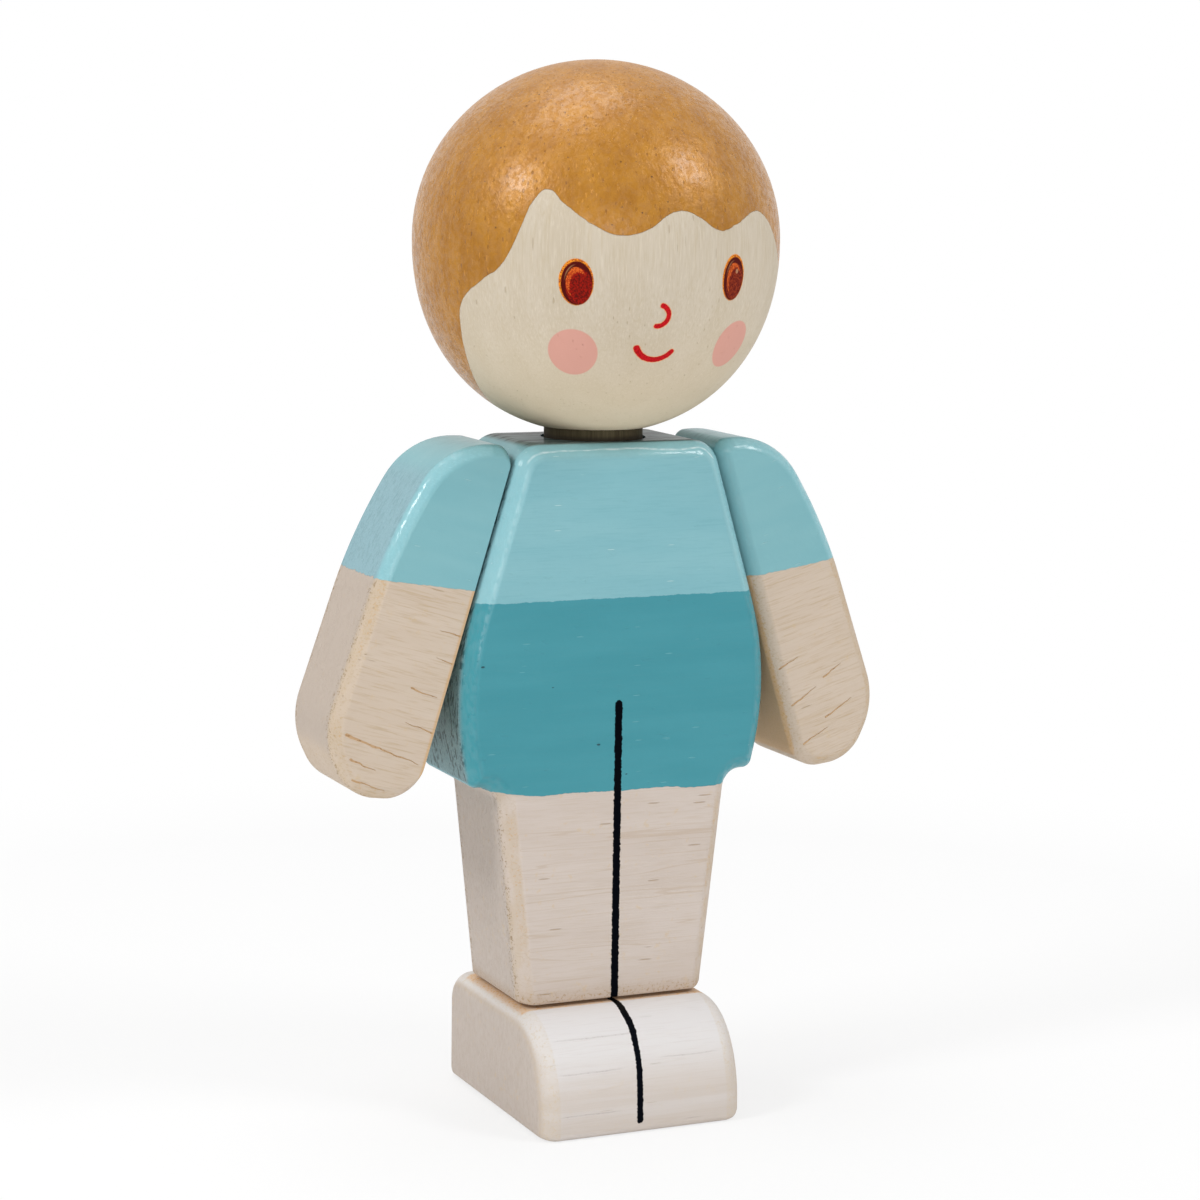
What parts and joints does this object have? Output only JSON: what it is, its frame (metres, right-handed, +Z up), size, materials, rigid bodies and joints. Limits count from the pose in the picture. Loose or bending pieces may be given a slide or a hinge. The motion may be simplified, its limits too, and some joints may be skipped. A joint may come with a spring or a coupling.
{
  "type": "wooden doll",
  "caption": "Small standing wooden doll: ball head that turns on a dowel neck, slab body, swinging flat arms and a rounded foot block.",
  "frame": {"origin": "on the surface that the doll stands on, in the middle of the doll's box, straight under the axis of the head", "axes": "+Z up along the head's axis, -Y the way that the face and toe point, +X the doll's own left"},
  "size_m": [0.057, 0.035, 0.1007],
  "materials": {
    "painted_head": "satin paint on turned hardwood, cream face and golden brown hair",
    "painted_body": "glossy teal paint on the trunk, whitewashed legs",
    "painted_arm": "glossy light teal sleeve, whitewashed wood below",
    "whitewashed_wood": "thin matt whitewash over grain",
    "bare_beech": "bare turned dowel",
    "nylon": "natural moulded",
    "steel_pin": "bright drawn"
  },
  "bodies": {
    "trunk": {"body": "painted_body", "foot_block": "whitewashed_wood", "neck_dowel": "bare_beech", "left_foot_dowel": "bare_beech", "right_foot_dowel": "bare_beech", "left_shoulder_pin": "steel_pin", "right_shoulder_pin": "steel_pin"},
    "head": {"head": "painted_head", "head_bush": "nylon"},
    "left_arm": {"left_arm": "painted_arm", "left_shoulder_bush": "nylon"},
    "right_arm": {"right_arm": "painted_arm", "right_shoulder_bush": "nylon"}
  },
  "joints": [
    {"name": "head_turn", "type": "hinge", "parent": "trunk", "child": "head", "pos_m": [0, 0, 0.08385], "axis": [0, 0, 1], "continuous": true},
    {"name": "left_arm_swing", "type": "hinge", "parent": "trunk", "child": "left_arm", "pos_m": [0.01201, 0, 0.0585], "axis": [-0.9578, 0, -0.2874], "range_deg": [-110, 110]},
    {"name": "right_arm_swing", "type": "hinge", "parent": "trunk", "child": "right_arm", "pos_m": [-0.01201, 0, 0.0585], "axis": [-0.9578, 0, 0.2874], "range_deg": [-110, 110]}
  ]
}
